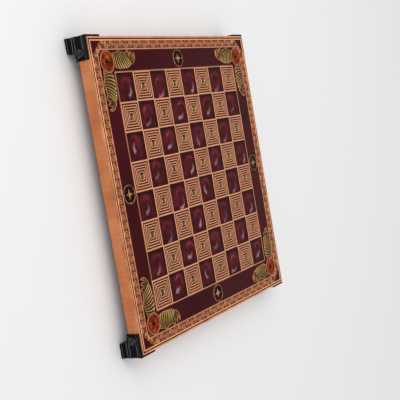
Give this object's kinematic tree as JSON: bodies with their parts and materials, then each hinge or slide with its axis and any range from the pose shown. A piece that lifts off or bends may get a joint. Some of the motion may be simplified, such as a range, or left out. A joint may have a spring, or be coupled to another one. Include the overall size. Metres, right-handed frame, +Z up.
{
  "type": "chessboard",
  "caption": "Square chessboard: copper relief plate with enamelled squares, scalloped enamel corners, leaf and disc ornaments, on a wooden core with copper edges and black cast corner feet.",
  "frame": {"origin": "under the middle of the board, on the surface that the feet stand on", "axes": "+Z up out of the playing face, +X to the right and +Y to the far side of the board"},
  "size_m": [0.4424, 0.4424, 0.0374],
  "materials": {
    "copper_relief": "antique copper, patinated in the hollows and rubbed bright on the ridges",
    "square_enamel": "glossy pearl enamel, deep maroon",
    "green_enamel": "glossy green enamel",
    "border_enamel": "glossy maroon enamel",
    "copper_ring": "bright copper",
    "red_enamel": "glossy red-orange enamel",
    "black_enamel": "glossy black enamel",
    "leaf_enamel": "copper ribs with yellow-green enamel between them",
    "core_wood": "bare board",
    "copper_strip": "satin copper sheet",
    "felt": "black felt",
    "black_foot": "gloss black paint on cast metal",
    "screw_steel": "plain steel"
  },
  "bodies": {
    "root": {"base_felt": "felt", "border_enamel": "border_enamel", "centre_enamel": "green_enamel", "core_board": "core_wood", "corner_discs": "copper_ring", "corner_enamel": "border_enamel", "disc_enamel": "red_enamel", "edge_strip_back": "copper_strip", "edge_strip_front": "copper_strip", "edge_strip_left": "copper_strip", "edge_strip_right": "copper_strip", "enamel_rank_1": "square_enamel", "enamel_rank_2": "square_enamel", "enamel_rank_3": "square_enamel", "enamel_rank_4": "square_enamel", "enamel_rank_5": "square_enamel", "enamel_rank_6": "square_enamel", "enamel_rank_7": "square_enamel", "enamel_rank_8": "square_enamel", "foot_left_back": "black_foot", "foot_left_front": "black_foot", "foot_pad_left_back": "felt", "foot_pad_left_front": "felt", "foot_pad_right_back": "felt", "foot_pad_right_front": "felt", "foot_right_back": "black_foot", "foot_right_front": "black_foot", "foot_screws": "screw_steel", "leaves_left_hand": "leaf_enamel", "leaves_right_hand": "leaf_enamel", "medallion_enamel": "black_enamel", "relief_plate": "copper_relief", "side_medallions": "copper_ring"}
  },
  "joints": []
}
